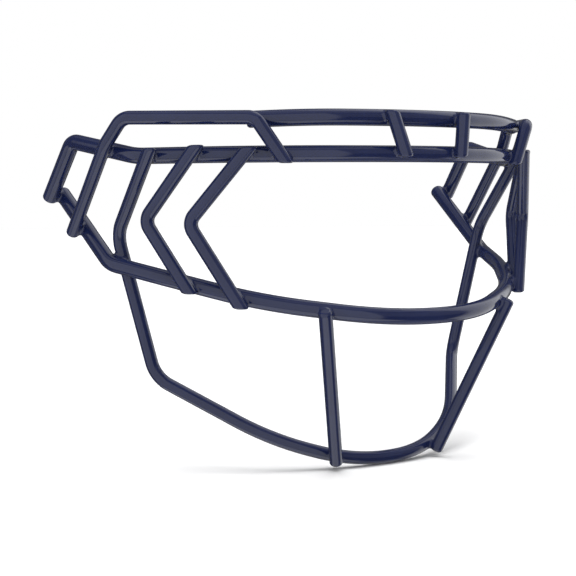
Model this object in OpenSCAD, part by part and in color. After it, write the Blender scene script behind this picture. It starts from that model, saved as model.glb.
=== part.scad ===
// Face guard of a football helmet: a welded cage of coated round steel wire.
// It faces -Y with +Z up, and its middle plane is X = 0. The lower brow bar lies level.
// The origin is under the middle of the guard, at the height of its lowest point.

/* [Wire] */
// Diameter of the thick wire over its coating
main_d = 7.2; // [6.8:0.1:7.6]
// Diameter of the thin wire over its coating
thin_d = 6; // [5.6:0.1:6.4]
// Rounding of the coating round each cut end
end_round = 1.5; // [0.6:0.1:2]
// Reach of a weld fillet from the point where two wires touch
weld_reach = 4.2; // [4:0.1:4.6]

/* [Overall shape] */
// Half the width across the corners of the rear legs
leg_x = 117.5; // [116.5:0.5:118.5]
// Distance of those corners behind the front of the lower brow bar
leg_y = 109; // [108:0.5:110]
// Drop from those corners to the ends of the rear legs
leg_drop = 26.5; // [24:0.5:29]
// Height of the upper brow bar above the lower one
brow_gap = 15.5; // [15:0.5:16]
// Drop from the lower brow bar to the front of the jaw bar
jaw_drop = 70; // [69.5:0.5:70.5]
// Drop from the lower brow bar to the front of the chin bar
chin_drop = 137.5; // [137:0.5:138]

/* [Hidden] */

$fn = 48;
coat_colour = "#262b4a";
weld_step = 0.5;   // spacing of the centre-line points that a weld is found from
collar = 0.04;     // how far a ball stands proud where a straight runs into an arc
square_cut = 0;    // marks a wire's end that is cut square to the wire
level_cut = -1;    // marks a wire's end that is cut level, flush with the bar it is welded to

// The bends are given from the front of the lower brow bar, then moved to the origin.
front_y = -61.8;   // that front, ahead of the origin
brow_z = 140.5;    // height of the lower brow bar above the lowest point

// Bends of each wire on the wearer's left, from the middle or the top outwards.
// Each is [across, back, up, radius]; at a wire's end the last value is how it is cut.
upper_brow = [
    [18, 2.5, brow_gap, 114],
    [53, 13, brow_gap, 120],
    [75, 27, brow_gap - 1, square_cut]
];
lower_brow = [
    [15, 0, 0, 96],
    [50.5, 10.5, 0, 106],
    [82, 33, 0, 95],
    [leg_x - 12, leg_y - 39.5, 0, 25],
    [leg_x, leg_y, 7.5, 6],
    [leg_x + 2.5, leg_y + 21.5, 7.5 - leg_drop, square_cut]
];
jaw = [
    [24, -6.5, -jaw_drop, 75],
    [70, 23.5, 7 - jaw_drop, 110],
    [94.5, 57.5, 16 - jaw_drop, 110],
    [leg_x - 8, leg_y - 20.5, 22.5 - jaw_drop, 14],
    [leg_x - 4, leg_y + 22.5, 54.5 - jaw_drop, square_cut]
];
chin = [
    [19, 28.5, -chin_drop, 64],
    [52, 45.5, 10.5 - chin_drop, 90],
    [88, 87.5, 37 - chin_drop, 14],
    [106.5, 87, -34.5, 18],
    [106, 55.5, 3, level_cut]
];
hoop = [
    [leg_x, 111.5, -35, square_cut],
    [leg_x - 2, 79.5, 5, 25],
    [leg_x - 6, 70.5, brow_gap + 1, 8],
    [76, 18.5, brow_gap - 0.5, 5.5],
    [64, 13.5, -4, level_cut]
];
chevron_rear = [
    [93, 38, 4, level_cut],
    [106, 61.5, -28, 6],
    [93, 45, -59.5, level_cut]
];
chevron_front = [
    [77, 21.5, 3, level_cut],
    [95.5, 42, -29, 6],
    [78.5, 26.5, -65.5, level_cut]
];
brow_strut = [
    [20, -1.5, brow_gap + 3, level_cut],
    [15, -5.5, -1.5, level_cut]
];
chin_strut = [
    [51.5, 3.5, 4 - jaw_drop, square_cut],
    [28.5, 28.5, -0.5 - chin_drop, square_cut]
];

// ---- Vectors and bends ----

function unit(v) = v / norm(v);

// Corner point of bend i of wire b
function corner(b, i) = [b[i].x, b[i].y, b[i].z];

// Direction from corner i to corner j
function heading(b, i, j) = unit(corner(b, j) - corner(b, i));

function is_end(b, i) = i == 0 || i == len(b) - 1;

function is_cut(b, i) = b[i][3] <= square_cut;

// Angle that wire b turns through at bend i
function turn(b, i) = acos(heading(b, i - 1, i) * heading(b, i, i + 1));

// Length of straight that bend i uses up on each side of its corner
function setback(b, i) = is_end(b, i) ? 0 : b[i][3] * tan(turn(b, i) / 2);

// Where the straight from corner i towards corner j begins
function leaves(b, i, j) = corner(b, i) + setback(b, i) * heading(b, i, j);

// Centre of the arc at bend i
function arc_centre(b, i) =
    corner(b, i) + unit(heading(b, i, i - 1) + heading(b, i, i + 1)) * b[i][3] / cos(turn(b, i) / 2);

// The same wire on the other side, read the other way round
function mirrored(b) = [for (i = [len(b) - 1 : -1 : 0]) [-b[i].x, b[i].y, b[i].z, b[i][3]]];

// A wire that runs across the middle, from its left half
function across(half) = concat(mirrored(half), half);

// Placement with the given axes and origin
function frame(x, y, z, o) = [
    [x.x, y.x, z.x, o.x],
    [x.y, y.y, z.y, o.y],
    [x.z, y.z, z.z, o.z],
    [0, 0, 0, 1]
];

// Any direction square to v
function side_of(v) = unit(cross(v, abs(v.z) < 0.9 ? [0, 0, 1] : [1, 0, 0]));

// Placement at point o with +Z along v
function along(v, o) = frame(side_of(v), cross(v, side_of(v)), v, o);

// ---- Wire ----

// What the rounding of a wire's end takes off its turned outline at [d / 2, 0]
module rounding(d) {
    translate([d / 2 - end_round, 0])
        difference() {
            square(end_round);
            translate([0, end_round])
                circle(end_round);
        }
}

// How far a wire's rounded end runs past a level cut, so that the cut blunts its sharp tip
function overrun(b, k, v, d) =
    b[k][3] == level_cut ? d / 2 * norm([v.x, v.y]) / abs(v.z) + 0.3 * end_round : 0;

// Everything past the cut at end k of wire b, which runs outwards along v there
module waste(b, k, v) {
    normal = b[k][3] == level_cut ? [0, 0, sign(v.z)] : v;
    multmatrix(along(normal, corner(b, k)))
        translate([-15, -15, 0])
            cube(30);
}

// The straight between bends i and i + 1, with rounded edges where the wire is cut
module straight(b, i, d) {
    v = heading(b, i, i + 1);
    from = leaves(b, i, i + 1) - overrun(b, i, v, d) * v;
    to = leaves(b, i + 1, i) + overrun(b, i + 1, v, d) * v;
    length = norm(to - from);
    difference() {
        multmatrix(along(v, from))
            rotate_extrude()
                difference() {
                    square([d / 2, length]);
                    if (i == 0)
                        rounding(d);
                    if (i == len(b) - 2)
                        translate([0, length])
                            mirror([0, 1])
                                rounding(d);
                }
        if (b[i][3] == level_cut)
            waste(b, i, -v);
        if (b[i + 1][3] == level_cut)
            waste(b, i + 1, v);
    }
}

// The arc at bend i, with a ball at each end that joins it to its straights
module bend(b, i, d) {
    centre = arc_centre(b, i);
    x = unit(leaves(b, i, i - 1) - centre);
    y = heading(b, i - 1, i);
    z = cross(x, y);
    multmatrix(frame(x, y, z, centre)) {
        rotate_extrude(angle = turn(b, i))
            translate([b[i][3], 0])
                circle(d = d);
        for (a = [0, turn(b, i)])
            rotate(a)
                translate([b[i][3], 0, 0])
                    sphere(d = d + 2 * collar);
    }
}

module wire(b, d) {
    color(coat_colour)
        translate([0, front_y, brow_z]) {
            for (i = [0 : len(b) - 2])
                straight(b, i, d);
            for (i = [1 : 1 : len(b) - 2])
                bend(b, i, d);
        }
}

// ---- Weld fillets ----

// Points of the straight from p to q, each with the direction there
function straight_points(p, q) = [
    for (s = [0 : weld_step : norm(q - p)]) [p + s * unit(q - p), unit(q - p)]
];

// Points of the arc at bend i, each with the direction there
function arc_points(b, i) =
    let (centre = arc_centre(b, i), x = unit(leaves(b, i, i - 1) - centre), y = heading(b, i - 1, i))
    [
        for (a = [0 : weld_step / b[i][3] * 180 / PI : turn(b, i)])
            [centre + b[i][3] * (cos(a) * x + sin(a) * y), cos(a) * y - sin(a) * x]
    ];

// Points along the centre line of wire b
function centre_line(b) = concat(
    [for (i = [0 : len(b) - 2]) each straight_points(leaves(b, i, i + 1), leaves(b, i + 1, i))],
    [for (i = [1 : 1 : len(b) - 2]) each arc_points(b, i)]
);

// Of the points in line, the one nearest to p
function nearest(p, line) =
    let (gaps = [for (q = line) norm(q[0] - p[0])], least = min(gaps))
    line[search(least, gaps)[0]];

// The two centre-line points where wires a and b come closest
function contact(a, b) =
    let (
        line = centre_line(b),
        pairs = [for (p = centre_line(a)) [p, nearest(p, line)]],
        gaps = [for (pair = pairs) norm(pair[0][0] - pair[1][0])]
    )
    pairs[search(min(gaps), gaps)[0]];

module long_wire(point, d) {
    multmatrix(along(point[1], point[0] - 10 * point[1]))
        cylinder(d = d, h = 20);
}

// Fillet on both sides of the middle, where wire a touches wire b. It stops level with the cut ends of a.
module weld(a, a_d, b, b_d) {
    pair = contact(a, b);
    between = pair[1][0] - pair[0][0];
    middle = pair[0][0] + between * a_d / (a_d + b_d);
    color(coat_colour)
        for (side = [0, 1])
            mirror([side, 0, 0])
                translate([0, front_y, brow_z])
                    difference() {
                        multmatrix(along(unit(between), middle))
                            sphere(weld_reach);
                        long_wire(pair[0], a_d);
                        long_wire(pair[1], b_d);
                        if (is_cut(a, 0))
                            waste(a, 0, heading(a, 1, 0));
                        if (is_cut(a, len(a) - 1))
                            waste(a, len(a) - 1, heading(a, len(a) - 2, len(a) - 1));
                    }
}

// Bends from..to of wire b, as a wire of its own
function part_of(b, from, to) = [for (i = [from : to]) b[i]];

// ---- Cross bars ----

module upper_brow_bar() {
    wire(across(upper_brow), main_d);
}

module lower_brow_bar() {
    wire(across(lower_brow), main_d);
}

module jaw_bar() {
    wire(across(jaw), main_d);
}

module chin_bar() {
    wire(across(chin), thin_d);
}

// ---- Side wires ----

module side_hoop_left() {
    wire(hoop, thin_d);
}

module side_hoop_right() {
    wire(mirrored(hoop), thin_d);
}

module chevron_rear_left() {
    wire(chevron_rear, thin_d);
}

module chevron_rear_right() {
    wire(mirrored(chevron_rear), thin_d);
}

module chevron_front_left() {
    wire(chevron_front, thin_d);
}

module chevron_front_right() {
    wire(mirrored(chevron_front), thin_d);
}

// ---- Straight struts ----

module brow_strut_left() {
    wire(brow_strut, thin_d);
}

module brow_strut_right() {
    wire(mirrored(brow_strut), thin_d);
}

module chin_strut_left() {
    wire(chin_strut, thin_d);
}

module chin_strut_right() {
    wire(mirrored(chin_strut), thin_d);
}

// ---- Welds, grouped by the bar that they sit on ----

module upper_brow_welds() {
    weld(part_of(hoop, 2, 4), thin_d, across(upper_brow), main_d);
    weld(brow_strut, thin_d, across(upper_brow), main_d);
}

module brow_front_welds() {
    weld(part_of(hoop, 3, 4), thin_d, across(lower_brow), main_d);
    weld(brow_strut, thin_d, across(lower_brow), main_d);
}

module brow_side_welds() {
    weld(part_of(hoop, 0, 2), thin_d, across(lower_brow), main_d);
    weld(part_of(chevron_rear, 0, 1), thin_d, across(lower_brow), main_d);
    weld(part_of(chevron_front, 0, 1), thin_d, across(lower_brow), main_d);
    weld(part_of(chin, 3, 4), thin_d, across(lower_brow), main_d);
}

module jaw_side_welds() {
    weld(part_of(hoop, 0, 1), thin_d, across(jaw), main_d);
    weld(part_of(chevron_rear, 1, 2), thin_d, across(jaw), main_d);
    weld(part_of(chevron_front, 1, 2), thin_d, across(jaw), main_d);
    weld(part_of(chin, 2, 4), thin_d, across(jaw), main_d);
}

module rear_leg_welds() {
    weld(part_of(lower_brow, 4, 5), main_d, part_of(jaw, 3, 4), main_d);
}

module chin_welds() {
    weld(chin_strut, thin_d, across(jaw), main_d);
    weld(chin_strut, thin_d, across(part_of(chin, 0, 2)), thin_d);
}

upper_brow_bar();
lower_brow_bar();
jaw_bar();
chin_bar();
side_hoop_left();
side_hoop_right();
chevron_rear_left();
chevron_rear_right();
chevron_front_left();
chevron_front_right();
brow_strut_left();
brow_strut_right();
chin_strut_left();
chin_strut_right();
upper_brow_welds();
brow_front_welds();
brow_side_welds();
jaw_side_welds();
rear_leg_welds();
chin_welds();
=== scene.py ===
"""Looks of a welded, coated wire face guard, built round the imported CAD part."""

import math

import bmesh
import bpy
import numpy as np
from mathutils import Matrix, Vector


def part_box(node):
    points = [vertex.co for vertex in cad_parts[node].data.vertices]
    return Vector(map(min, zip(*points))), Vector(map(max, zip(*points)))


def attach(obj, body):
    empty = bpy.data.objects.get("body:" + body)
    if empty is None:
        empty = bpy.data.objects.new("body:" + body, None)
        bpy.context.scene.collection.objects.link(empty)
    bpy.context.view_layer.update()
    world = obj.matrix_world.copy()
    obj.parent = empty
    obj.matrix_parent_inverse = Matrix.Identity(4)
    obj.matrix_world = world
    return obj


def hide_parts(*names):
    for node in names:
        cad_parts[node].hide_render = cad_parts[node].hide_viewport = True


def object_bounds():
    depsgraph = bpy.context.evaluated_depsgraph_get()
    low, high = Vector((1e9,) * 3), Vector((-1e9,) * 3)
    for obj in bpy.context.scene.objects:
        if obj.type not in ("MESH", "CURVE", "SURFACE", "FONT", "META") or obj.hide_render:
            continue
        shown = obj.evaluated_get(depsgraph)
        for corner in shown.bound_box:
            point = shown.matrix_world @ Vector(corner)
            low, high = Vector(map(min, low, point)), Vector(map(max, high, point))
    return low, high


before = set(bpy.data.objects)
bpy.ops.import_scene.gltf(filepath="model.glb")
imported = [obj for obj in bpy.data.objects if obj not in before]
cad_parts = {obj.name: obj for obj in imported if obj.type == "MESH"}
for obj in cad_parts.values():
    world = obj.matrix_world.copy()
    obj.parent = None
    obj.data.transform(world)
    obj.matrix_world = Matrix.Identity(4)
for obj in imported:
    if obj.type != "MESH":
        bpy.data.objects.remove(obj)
cad_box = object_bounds()

MM = 0.001

# ---- The guard's sizes, as the CAD part has them, in millimetres ----

THICK = 7.2         # thick wire, over its coating
THIN = 6.0          # thin wire, over its coating
END_ROUND = 1.5     # rounding of the coating round a cut end
BROW_GAP = 15.5     # upper brow bar above the lower one
SQUARE = 0          # marks a wire's end that is cut square to the wire
LEVEL = -1          # marks a wire's end that is cut level, flush with the bar it is welded to

# The bends are given from the front of the lower brow bar's centre line. The frame says where that is.
FRONT_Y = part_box("lower_brow_bar")[0].y / MM + THICK / 2
BROW_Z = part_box("upper_brow_bar")[1].z / MM - THICK / 2 - BROW_GAP

# Bends of each wire on the wearer's left, from the middle or the top outwards.
# Each is (across, back, up, radius); at a wire's end the last value is how it is cut.
UPPER_BROW = [
    (18, 2.5, BROW_GAP, 114), (53, 13, BROW_GAP, 120), (75, 27, BROW_GAP - 1, SQUARE),
]
LOWER_BROW = [
    (15, 0, 0, 96), (50.5, 10.5, 0, 106), (82, 33, 0, 95), (105.5, 69.5, 0, 25),
    (117.5, 109, 7.5, 6), (120, 130.5, -19, SQUARE),
]
JAW = [
    (24, -6.5, -70, 75), (70, 23.5, -63, 110), (94.5, 57.5, -54, 110),
    (109.5, 88.5, -47.5, 14), (113.5, 131.5, -15.5, SQUARE),
]
CHIN = [
    (19, 28.5, -137.5, 64), (52, 45.5, -127, 90), (88, 87.5, -100.5, 14),
    (106.5, 87, -34.5, 18), (106, 55.5, 3, LEVEL),
]
HOOP = [
    (117.5, 111.5, -35, SQUARE), (115.5, 79.5, 5, 25), (111.5, 70.5, 16.5, 8),
    (76, 18.5, 15, 5.5), (64, 13.5, -4, LEVEL),
]
CHEVRON_REAR = [(93, 38, 4, LEVEL), (106, 61.5, -28, 6), (93, 45, -59.5, LEVEL)]
CHEVRON_FRONT = [(77, 21.5, 3, LEVEL), (95.5, 42, -29, 6), (78.5, 26.5, -65.5, LEVEL)]
BROW_STRUT = [(20, -1.5, 18.5, LEVEL), (15, -5.5, -1.5, LEVEL)]
CHIN_STRUT = [(51.5, 3.5, -66, SQUARE), (28.5, 28.5, -138, SQUARE)]

# ---- Centre lines ----


def unit(v):
    return v / np.linalg.norm(v)


def mirrored(bends):
    """The same wire on the other side, read the other way round."""
    return [(-x, y, z, r) for x, y, z, r in reversed(bends)]


def across(half):
    """A wire that runs across the middle, from its left half."""
    return mirrored(half) + half


def straight(start, end):
    """Points about 1 mm apart from start to end, with the direction at each."""
    count = max(2, round(np.linalg.norm(end - start)))
    share = np.linspace(0, 1, count)[:, None]
    return start + share * (end - start), np.repeat([unit(end - start)], count, 0)


def arc(corner, before, after, radius):
    """Points along the arc that rounds a corner, with the direction at each."""
    turn = math.acos(before @ after)
    count = max(3, math.ceil(turn * max(radius / 1.2, 20)))
    angle = np.linspace(0, turn, count)[:, None]
    start = corner - before * radius * math.tan(turn / 2)
    inward = unit(after - before * math.cos(turn))
    points = start + radius * (np.sin(angle) * before + (1 - np.cos(angle)) * inward)
    return points, np.cos(angle) * before + np.sin(angle) * inward


def centre_line(bends):
    """Points along a wire's centre line, in millimetres in the frame, with the direction at each."""
    corners = np.array([bend[:3] for bend in bends]) + (0, FRONT_Y, BROW_Z)
    headings = [unit(b - a) for a, b in zip(corners, corners[1:])]
    arcs = [
        arc(corners[i], headings[i - 1], headings[i], bends[i][3])
        for i in range(1, len(bends) - 1)
    ]
    stops = [corners[0], *(p for points, _ in arcs for p in (points[0], points[-1])), corners[-1]]
    stretches = []
    for i, heading in enumerate(headings):
        stretches.append(straight(stops[2 * i], stops[2 * i + 1]))
        stretches += arcs[i:i + 1]
    points = np.concatenate([stretch[0] for stretch in stretches])
    directions = np.concatenate([stretch[1] for stretch in stretches])
    fresh = np.r_[True, np.linalg.norm(np.diff(points, axis=0), axis=1) > 0.01]
    return points[fresh], directions[fresh]


def cut_slope(cut, outwards):
    """A vector whose dot product with a place, taken from a wire's end, is how far past the cut it is."""
    normal = np.array((0, 0, 1)) if cut == LEVEL else outwards
    return normal / (normal @ outwards)


class Wire:
    """A centre line, its thickness and how its two ends are cut."""

    def __init__(self, bends, diameter):
        self.points, self.directions = centre_line(bends)
        self.radius = diameter / 2
        self.cuts = (
            cut_slope(bends[0][3], -self.directions[0]),
            cut_slope(bends[-1][3], self.directions[-1]),
        )


# ---- Wire meshes ----

SIDES = 64          # facets round a wire
CAP_STEPS = 8       # rings in the rounding of a cut end
SLANT_RUN = 8.0     # the length of wire, in millimetres, over which its rings tilt to meet a slanting cut


def square_axes(directions):
    """Two directions square to the wire at each of its points, carried along without twist."""
    side = unit(np.cross(directions[0], (0.3, 0.5, 0.8)))
    sides = []
    for direction in directions:
        side = unit(side - direction * (side @ direction))
        sides.append(side)
    sides = np.array(sides)
    return sides, np.cross(directions, sides)


def rings_of(wire, length):
    """How far along the wire each ring of its mesh is, and how wide, with rounded edges at both ends."""
    face = [(0, (wire.radius - END_ROUND) * share) for share in (0.4, 0.85)]
    rounding = [
        (END_ROUND * (1 - math.cos(a)), wire.radius - END_ROUND * (1 - math.sin(a)))
        for a in np.linspace(0, math.pi / 2, CAP_STEPS + 1)
    ]
    end = face + rounding
    body = [(s, wire.radius) for s in length if END_ROUND < s < length[-1] - END_ROUND]
    return np.array(end + body + [(length[-1] - s, r) for s, r in reversed(end)]).T


def tube_faces(rings):
    """Faces of a tube of so many rings, closed by a last two vertices at the middles of its ends."""
    faces = []
    last = (rings - 1) * SIDES
    for j in range(SIDES):
        k = (j + 1) % SIDES
        for i in range(0, last, SIDES):
            faces.append((i + j, i + k, i + SIDES + k, i + SIDES + j))
        faces.append((k, j, last + SIDES))
        faces.append((last + j, last + k, last + SIDES + 1))
    return faces


def tube(wire):
    """Vertices and faces of a wire."""
    length = np.r_[0, np.cumsum(np.linalg.norm(np.diff(wire.points, axis=0), axis=1))]
    run, radius = rings_of(wire, length)
    centres = np.stack([np.interp(run, length, axis) for axis in wire.points.T], 1)
    directions = np.stack([np.interp(run, length, axis) for axis in wire.directions.T], 1)
    sides, tops = square_axes(directions)
    angle = np.linspace(0, 2 * math.pi, SIDES, endpoint=False)[None, :, None]
    ring = radius[:, None, None] * (np.cos(angle) * sides[:, None] + np.sin(angle) * tops[:, None])
    start_tilt = np.maximum(1 - run / SLANT_RUN, 0)[:, None]
    end_tilt = np.maximum(1 - (length[-1] - run) / SLANT_RUN, 0)[:, None]
    slide = (ring @ wire.cuts[0]) * start_tilt - (ring @ wire.cuts[1]) * end_tilt
    vertices = (centres[:, None] + ring + slide[..., None] * directions[:, None]).reshape(-1, 3)
    return np.array([*vertices, centres[0], centres[-1]]), tube_faces(len(run))


# ---- Weld fillets ----

FILLET = 2.2        # gap between two wires, in millimetres, that the coating begins to fill
WELD_REACH = 6.0    # how far from the contact a fillet's mesh goes before it is inside the wires
TUCK = 0.04         # how far the rest of that mesh lies under the wires' own surfaces
MARCH = 32          # steps outwards in which a fillet's surface is looked for
HALVINGS = 12       # halvings of the step that it is found in


def contact(a, b):
    """The middle of the place where two wires touch."""
    gaps = np.linalg.norm(a.points[:, None] - b.points, axis=2)
    i, j = np.unravel_index(gaps.argmin(), gaps.shape)
    share = a.radius / (a.radius + b.radius)
    return a.points[i] + share * (b.points[j] - a.points[i])


def outside(points, wire, middle):
    """How far each point is outside the stretch of wire round middle, whose cut ends have rounded edges."""
    near = np.flatnonzero(np.linalg.norm(wire.points - middle, axis=1) < 2.2 * WELD_REACH)
    first, last = near[0], near[-1]
    start = wire.points[first:last]
    run = wire.points[first + 1:last + 1] - start
    low, high = np.zeros(len(run)), np.ones(len(run))
    beyond = np.full(len(points), -1e3)
    if first == 0:
        low[0] = -1e3
        beyond = np.maximum(beyond, (points - wire.points[0]) @ wire.cuts[0])
    if last == len(wire.points) - 1:
        high[-1] = 1e3
        beyond = np.maximum(beyond, (points - wire.points[-1]) @ wire.cuts[1])
    reach = ((points[:, None] - start) * run).sum(2) / (run ** 2).sum(1)
    nearest = start + np.clip(reach, low, high)[..., None] * run
    around = np.linalg.norm(points[:, None] - nearest, axis=2).min(1) - wire.radius
    edge = np.stack([around, beyond]) + END_ROUND
    return np.minimum(edge.max(0), 0) + np.linalg.norm(np.maximum(edge, 0), axis=0) - END_ROUND


def filled(points, a, b, middle):
    """How far each point is outside both wires and the coating that fills the crease between them."""
    to_a, to_b = outside(points, a, middle), outside(points, b, middle)
    crease = np.maximum(FILLET - abs(to_a - to_b), 0) / FILLET
    return np.minimum(to_a, to_b) - crease ** 2 * FILLET / 4 + TUCK


def ball_directions():
    """Directions spread evenly over a ball, and the triangles between them."""
    mesh = bmesh.new()
    bmesh.ops.create_icosphere(mesh, subdivisions=5, radius=1)
    directions = np.array([vertex.co for vertex in mesh.verts], float)
    faces = [tuple(vertex.index for vertex in face.verts) for face in mesh.faces]
    mesh.free()
    return directions, faces


BALL, BALL_FACES = ball_directions()


def fillet(a, b):
    """Vertices, faces and vertex normals of the coated weld where wires a and b touch."""
    middle = contact(a, b)
    steps = WELD_REACH * np.arange(1, MARCH + 1) / MARCH
    rays = (middle + steps[:, None, None] * BALL).reshape(-1, 3)
    out = filled(rays, a, b, middle).reshape(len(steps), -1) > 0
    crossing = np.where(out.any(0), out.argmax(0), len(steps) - 1)
    high = steps[crossing]
    low = high - steps[0]
    for _ in range(HALVINGS):
        half = (low + high) / 2
        is_out = filled(middle + half[:, None] * BALL, a, b, middle) > 0
        low, high = np.where(is_out, low, half), np.where(is_out, half, high)
    vertices = middle + high[:, None] * BALL
    normals = np.stack([
        filled(vertices + step, a, b, middle) - filled(vertices - step, a, b, middle)
        for step in 0.01 * np.eye(3)
    ], 1)
    return vertices, BALL_FACES, normals / np.linalg.norm(normals, axis=1)[:, None]


def both_sides(vertices, faces, normals):
    """The same mesh with its mirror image added."""
    flip = (-1, 1, 1)
    turned = [tuple(len(vertices) + k for k in reversed(face)) for face in faces]
    return (
        np.concatenate([vertices, vertices * flip]),
        faces + turned,
        np.concatenate([normals, normals * flip]),
    )


def joined(meshes):
    """Several meshes as one."""
    vertices, faces, normals = [], [], []
    for more_vertices, more_faces, more_normals in meshes:
        offset = sum(len(part) for part in vertices)
        vertices.append(more_vertices)
        faces += [tuple(offset + k for k in face) for face in more_faces]
        normals.append(more_normals)
    return np.concatenate(vertices), faces, np.concatenate(normals)


# ---- Pieces ----


def add_piece(name, vertices, faces, node, material):
    """A smooth mesh that stands for a CAD node."""
    mesh = bpy.data.meshes.new(name)
    mesh.from_pydata((np.asarray(vertices) * MM).tolist(), [], faces)
    mesh.polygons.foreach_set("use_smooth", [True] * len(mesh.polygons))
    mesh.materials.append(material)
    piece = bpy.data.objects.new(name, mesh)
    bpy.context.scene.collection.objects.link(piece)
    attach(piece, "root")
    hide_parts(node)
    return mesh


# ---- Material ----


class Nodes:
    """Short calls for building a node tree."""

    def __init__(self, tree):
        self.tree = tree
        tree.nodes.clear()

    def add(self, kind, **settings):
        node = self.tree.nodes.new(kind)
        for key, value in settings.items():
            setattr(node, key, value)
        return node

    def feed(self, socket, value):
        """Links a socket to another one, or sets it to a number or colour."""
        if isinstance(value, bpy.types.NodeSocket):
            self.tree.links.new(value, socket)
        else:
            socket.default_value = value

    def set(self, node, **inputs):
        """Feeds a node's inputs by name. Underscores stand for spaces."""
        for name, value in inputs.items():
            self.feed(node.inputs[name.replace("_", " ")], value)
        return node

    def maths(self, operation, *values):
        node = self.add("ShaderNodeMath", operation=operation)
        for socket, value in zip(node.inputs, values):
            self.feed(socket, value)
        return node.outputs[0]

    def noise(self, place, scale, detail):
        """Soft noise with so many waves to the metre."""
        node = self.set(self.add("ShaderNodeTexNoise"), Vector=place, Scale=scale, Detail=detail)
        return node.outputs["Fac"]

    def ramp(self, value, low, high, to_low, to_high):
        """Carries value from low..high over to to_low..to_high, easing at both ends."""
        node = self.add("ShaderNodeMapRange", interpolation_type="SMOOTHSTEP")
        self.set(node, Value=value, From_Min=low, From_Max=high, To_Min=to_low, To_Max=to_high)
        return node.outputs["Result"]

    def mix(self, share, first, second):
        """The colour a share of the way from first to second."""
        node = self.add("ShaderNodeMix", data_type="RGBA")
        for index, value in ((0, share), (6, first), (7, second)):
            self.feed(node.inputs[index], value)
        return node.outputs[2]


NAVY = (0.0072, 0.0118, 0.0500, 1)          # the coating where it lies thick
NAVY_THIN = (0.0105, 0.0170, 0.0640, 1)     # where it has drawn thin


def coating():
    """Glossy navy dip coating, thick and thin in places, with a soft ripple and fine specks of dust."""
    material = bpy.data.materials.new("navy_coating")
    material.use_nodes = True
    n = Nodes(material.node_tree)
    place = n.add("ShaderNodeTexCoord").outputs["Object"]
    clouds = n.noise(place, 55, 4)
    mottle = n.noise(place, 420, 3)
    specks = n.noise(place, 2600, 1)
    ripple = n.noise(place, 300, 2)
    thin = n.maths("ADD", n.ramp(clouds, 0.35, 0.7, 0, 0.45), n.ramp(mottle, 0.45, 0.75, 0, 0.25))
    height = n.maths("ADD", ripple, n.maths("MULTIPLY", mottle, 0.35))
    bump = n.set(n.add("ShaderNodeBump"), Strength=0.35, Distance=0.00004, Height=height)
    rough = n.maths("ADD", n.ramp(mottle, 0.3, 0.7, 0.16, 0.24), n.ramp(specks, 0.68, 0.78, 0, 0.25))
    shader = n.set(
        n.add("ShaderNodeBsdfPrincipled"),
        Base_Color=n.mix(thin, NAVY, NAVY_THIN),
        Roughness=rough,
        IOR=1.5,
        Specular_IOR_Level=0.05,
        Coat_Weight=1.0,
        Coat_Roughness=0.05,
        Coat_IOR=1.5,
        Normal=bump.outputs["Normal"],
        Coat_Normal=bump.outputs["Normal"],
    )
    n.set(n.add("ShaderNodeOutputMaterial"), Surface=shader.outputs["BSDF"])
    return material


# ---- The guard ----

coat = coating()
bars = {
    "upper_brow_bar": Wire(across(UPPER_BROW), THICK),
    "lower_brow_bar": Wire(across(LOWER_BROW), THICK),
    "jaw_bar": Wire(across(JAW), THICK),
    "chin_bar": Wire(across(CHIN), THIN),
}
side_wires = {
    "side_hoop": HOOP,
    "chevron_rear": CHEVRON_REAR,
    "chevron_front": CHEVRON_FRONT,
    "brow_strut": BROW_STRUT,
    "chin_strut": CHIN_STRUT,
}
for name, wire in bars.items():
    add_piece(name + "_coated", *tube(wire), name, coat)
for name, bends in side_wires.items():
    for side, path in (("left", bends), ("right", mirrored(bends))):
        add_piece(f"{name}_{side}_coated", *tube(Wire(path, THIN)), f"{name}_{side}", coat)

# Each group's pairs of touching wires. A stretch of bends picks out one of two crossings.
upper, lower, jaw_bar, chin_bar = bars.values()
legs = Wire(LOWER_BROW[4:], THICK), Wire(JAW[3:], THICK)
WELDS = {
    "upper_brow_welds": [(Wire(HOOP[2:], THIN), upper), (Wire(BROW_STRUT, THIN), upper)],
    "brow_front_welds": [(Wire(HOOP[3:], THIN), lower), (Wire(BROW_STRUT, THIN), lower)],
    "brow_side_welds": [
        (Wire(HOOP[:3], THIN), lower),
        (Wire(CHEVRON_REAR, THIN), lower),
        (Wire(CHEVRON_FRONT, THIN), lower),
        (Wire(CHIN[3:], THIN), lower),
    ],
    "jaw_side_welds": [
        (Wire(HOOP[:2], THIN), jaw_bar),
        (Wire(CHEVRON_REAR[1:], THIN), jaw_bar),
        (Wire(CHEVRON_FRONT[1:], THIN), jaw_bar),
        (Wire(CHIN[2:], THIN), jaw_bar),
    ],
    "rear_leg_welds": [legs],
    "chin_welds": [(Wire(CHIN_STRUT, THIN), jaw_bar), (Wire(CHIN_STRUT, THIN), chin_bar)],
}
for name, pairs in WELDS.items():
    vertices, faces, normals = both_sides(*joined([fillet(a, b) for a, b in pairs]))
    mesh = add_piece(name + "_coated", vertices, faces, name, coat)
    mesh.normals_split_custom_set_from_vertices(normals.tolist())


# ---- Floor, light and camera ----


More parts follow.
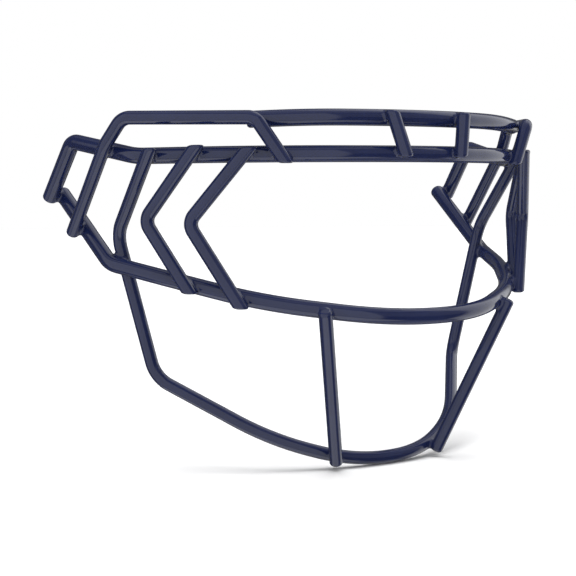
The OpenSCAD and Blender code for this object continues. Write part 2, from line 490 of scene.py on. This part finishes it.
def pale_floor():
    """A wide pale floor at the height of the guard's lowest point."""
    mesh = bpy.data.meshes.new("floor")
    disc = bmesh.new()
    bmesh.ops.create_circle(disc, cap_ends=True, segments=96, radius=4)
    disc.to_mesh(mesh)
    disc.free()
    floor = bpy.data.objects.new("floor", mesh)
    floor.location.z = cad_box[0][2] - 0.0002
    bpy.context.scene.collection.objects.link(floor)
    floor.visible_glossy = False
    material = bpy.data.materials.new("pale_floor")
    material.use_nodes = True
    n = Nodes(material.node_tree)
    place = n.add("ShaderNodeTexCoord").outputs["Object"]
    shade = n.mix(n.noise(place, 6, 3), (0.90, 0.90, 0.905, 1), (0.93, 0.93, 0.93, 1))
    shader = n.set(n.add("ShaderNodeBsdfPrincipled"), Base_Color=shade, Roughness=0.9)
    n.set(n.add("ShaderNodeOutputMaterial"), Surface=shader.outputs["BSDF"])
    mesh.materials.append(material)


# Soft cards of light round the guard, in degrees: bearing and height of the middle, half width and half
# height, softness of the edge, and brightness. Bearing 0 is straight ahead of the guard, + to its left.
CARDS = [
    (-61, 4, 60, 45, 8, 0.97),          # the large soft box on the camera's side
    (87, 4, 26, 45, 14, 1.2),           # the narrower one on the far side
    (30, 24, 36, 24, 12, 0.36),         # weak light off the front wall between them
    (-65, -70, 90, 26, 14, 1.45),       # the white table below, lit on the camera's side
    (115, -70, 100, 26, 14, 0.55),      # and its shaded side
    (104, 58, 33, 24, 14, 1.1),         # a third box, high on the far side
    (0, 90, 180, 38, 16, 0.55),         # the ceiling
]
DIM = 0.12      # light between the cards


def studio():
    """Soft cards of light on a dim surround. The camera itself sees plain white behind the guard."""
    world = bpy.data.worlds.new("studio")
    bpy.context.scene.world = world
    world.use_nodes = True
    n = Nodes(world.node_tree)
    direction = n.add("ShaderNodeTexCoord").outputs["Generated"]
    axes = n.set(n.add("ShaderNodeSeparateXYZ"), Vector=direction).outputs
    bearing = n.maths("ARCTAN2", axes["X"], n.maths("MULTIPLY", axes["Y"], -1))
    height = n.maths("ARCSINE", axes["Z"])
    light = DIM
    for across_at, up_at, half_width, half_height, soft, level in CARDS:
        turn = n.maths("WRAP", n.maths("SUBTRACT", bearing, math.radians(across_at)), -math.pi, math.pi)
        rise = n.maths("SUBTRACT", height, math.radians(up_at))
        glow = level
        for offset, half in ((turn, half_width), (rise, half_height)):
            away = n.maths("ABSOLUTE", offset)
            inner, outer = math.radians(half - soft / 2), math.radians(half + soft / 2)
            glow = n.maths("MULTIPLY", glow, n.ramp(away, inner, outer, 1, 0))
        light = n.maths("MAXIMUM", light, glow)
    lit = n.set(n.add("ShaderNodeBackground"), Color=(1, 1, 1, 1), Strength=light)
    seen = n.set(n.add("ShaderNodeBackground"), Color=(1, 1, 1, 1), Strength=1.0)
    choice = n.add("ShaderNodeMixShader")
    n.set(choice, Fac=n.add("ShaderNodeLightPath").outputs["Is Camera Ray"])
    n.tree.links.new(lit.outputs[0], choice.inputs[1])
    n.tree.links.new(seen.outputs[0], choice.inputs[2])
    n.set(n.add("ShaderNodeOutputWorld"), Surface=choice.outputs[0])


def soft_top_light():
    """Even light from above that whitens the floor, with very soft shadows."""
    data = bpy.data.lights.new("top_light", "SUN")
    data.energy = 2.8
    data.angle = math.radians(70)
    light = bpy.data.objects.new("top_light", data)
    light.location = (0, 0, 2)
    light.visible_glossy = False
    bpy.context.scene.collection.objects.link(light)


CAMERA_AT = (-376.3, -464.4, -15.8)     # in millimetres from the front of the lower brow bar
CAMERA_TURN = (-33.2, 4.06, -0.38)      # in degrees: to the guard's right, down, and tipped
LENS = 85.06                            # in millimetres, for a picture 36 mm wide


def add_camera():
    """The photographed view: from the guard's right, looking a little down."""
    aside, down, tip = (math.radians(angle) for angle in CAMERA_TURN)
    data = bpy.data.cameras.new("camera")
    data.sensor_width = 36
    data.lens = LENS
    data.clip_start = 0.01
    camera = bpy.data.objects.new("camera", data)
    place = (np.array(CAMERA_AT) + (0, FRONT_Y, BROW_Z)) * MM
    camera.matrix_world = (
        Matrix.Translation(place.tolist())
        @ Matrix.Rotation(aside, 4, "Z")
        @ Matrix.Rotation(math.pi / 2 - down, 4, "X")
        @ Matrix.Rotation(tip, 4, "Z")
    )
    bpy.context.scene.collection.objects.link(camera)
    bpy.context.scene.camera = camera


pale_floor()
studio()
soft_top_light()
add_camera()
bpy.context.scene.view_settings.view_transform = "Standard"
